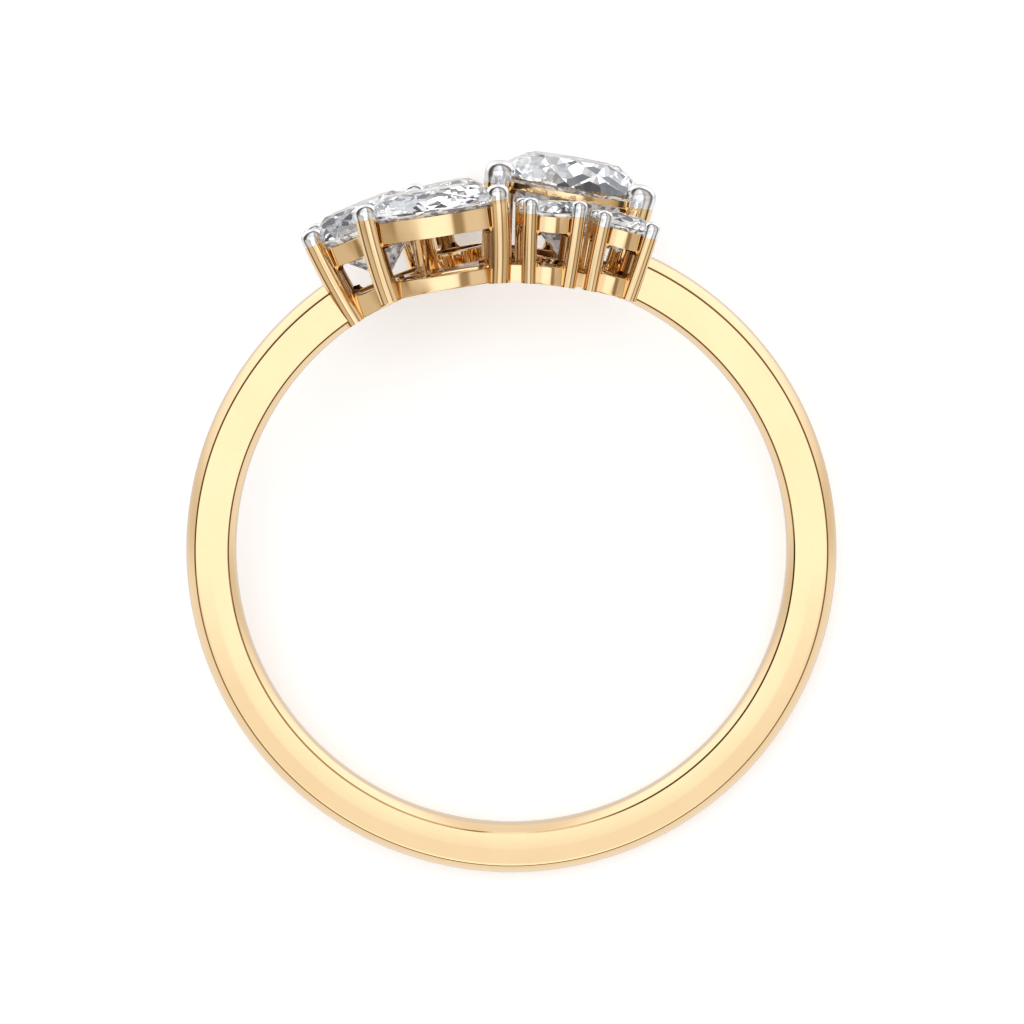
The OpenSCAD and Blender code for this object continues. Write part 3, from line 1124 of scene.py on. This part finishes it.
# What is left of the light in the darkest places, and what the other dim places take off
LEFT_REST, RIM_REST = 0.1, 0.18
TAKES = {"left": 0.3, "slot": 0.62, "right": 0.2, "right_far": 0.3, "near": 0.22,
         "seam": 0.65, "far": 0.15}
STRIP_LIGHT, BELOW_LIGHT, ENDS_LIGHT, CORNER_LIGHT = 0.3, 0.77, 0.16, 0.36
print("the ring's axis points", [round(v, 3) for v in AXIS])

# %% The tent as a world
LEAST_HEIGHT = 0.02
world = bpy.data.worlds.new("light_tent")
bpy.context.scene.world = world
world.use_nodes = True
g = Graph(world.node_tree)
way = g.where("Generated")
dx, dy, dz = (g.vector("DOT_PRODUCT", {0: way, 1: axis}, "Value") for axis in (RIGHT, UP, AXIS))
height = dz.bigger(LEAST_HEIGHT)
across, along = dx / height, dy / height

near = 1 - dy.ramp(*NEAR_SIDE)
left_wall = LEFT_REST + (1 - LEFT_REST) * across.ramp(*LEFT_WALL).bigger(near)
left_dim = 1 - TAKES["left"] * near * (1 - across.ramp(*LEFT_DIM))
slots = across.between(*RIGHT_SLOT).bigger(across.between(*LEFT_SLOT) * near)
right_far = 1 - TAKES["right_far"] * across.ramp(*RIGHT_FAR)
right_wall = (1 - TAKES["right"] * across.ramp(*RIGHT_WALL)) * right_far
strip = STRIP_LIGHT * (1 - across.size().ramp(*STRIP))
walls = left_wall * left_dim * right_wall * (1 - TAKES["slot"] * slots) + strip
near_wall = 1 - TAKES["near"] * (1 - along.ramp(*NEAR_WALL)) * dy.ramp(*NEAR_END)
seam = 1 - TAKES["seam"] * along.between(*SEAM)
far_wall = seam * (1 - TAKES["far"] * along.ramp(*FAR_WALL))
upper = walls * near_wall * far_wall

straight_below = (0 - dz).ramp(*STRAIGHT_BELOW)
far_corner = dy.ramp(*CORNER_ALONG) * dx.size().ramp(*CORNER_ACROSS)
extra = ENDS_LIGHT * dy.size().ramp(*BELOW_ENDS) + CORNER_LIGHT * far_corner
lower = BELOW_LIGHT + extra * (1 - straight_below)

overhead = dz.ramp(*HORIZON)
rim = RIM_REST + (1 - RIM_REST) * dz.size().ramp(*RIM)
light = (upper * overhead + lower * (1 - overhead)) * rim
tint = g.mixed(light.ramp(0.2, 1.2), (1.0, 0.84, 0.62, 1), (1.0, 1.055, 1.15, 1))
background = g.add("ShaderNodeBackground", None, {"Color": tint, "Strength": light})
g.add("ShaderNodeOutputWorld", None, {"Surface": background})
print("light tent:", len(world.node_tree.nodes), "nodes")

# %% [markdown]
# ## Lamp and camera
# A weak sun with a very wide disc stands for the studio's soft lamp, and like the table
# it is left out of reflections. The camera stands where the photograph was taken from,
# a little above the ring's axis, and its lens is worked out from the width that it has to
# see at the ring's distance. The lens is long, as for all small things, so that the near
# and far edges of the band stay close together.

# %% The soft lamp over the table
LAMP_STRENGTH, LAMP_WIDTH, LAMP_LEAN = 0.6, 70, -14
lamp_data = bpy.data.lights.new("soft_lamp", "SUN")
lamp_data.energy = LAMP_STRENGTH
lamp_data.angle = math.radians(LAMP_WIDTH)
lamp = bpy.data.objects.new("soft_lamp", lamp_data)
bpy.context.scene.collection.objects.link(lamp)
lamp.rotation_euler = (math.radians(LAMP_LEAN), 0, 0)
lamp.visible_glossy = lamp.visible_transmission = False
print("lamp:", lamp_data.energy)

# %% Camera at the photograph's angle
DISTANCE = 0.22
CAMERA_LEAN = math.radians(6)
SENSOR, SEEN_WIDTH = 36, 31.654
SHIFT = (0.00063, 0.0371)
CLIP = (0.005, 5)
lens_data = bpy.data.cameras.new("camera")
camera = bpy.data.objects.new("camera", lens_data)
bpy.context.scene.collection.objects.link(camera)
sight = (math.cos(CAMERA_LEAN) * AXIS + math.sin(CAMERA_LEAN) * UP).normalized()
upward = (UP - UP.dot(sight) * sight).normalized()
turned = Matrix((upward.cross(sight), upward, sight)).transposed().to_4x4()
camera.matrix_world = Matrix.Translation(CENTRE + sight * DISTANCE) @ turned
lens_data.sensor_width = SENSOR
lens_data.lens = SENSOR * DISTANCE / MM / SEEN_WIDTH
lens_data.shift_x, lens_data.shift_y = SHIFT
lens_data.clip_start, lens_data.clip_end = CLIP
bpy.context.scene.camera = camera
bpy.context.scene.view_settings.view_transform = "Standard"
print("camera at", [round(v, 4) for v in camera.matrix_world.translation])
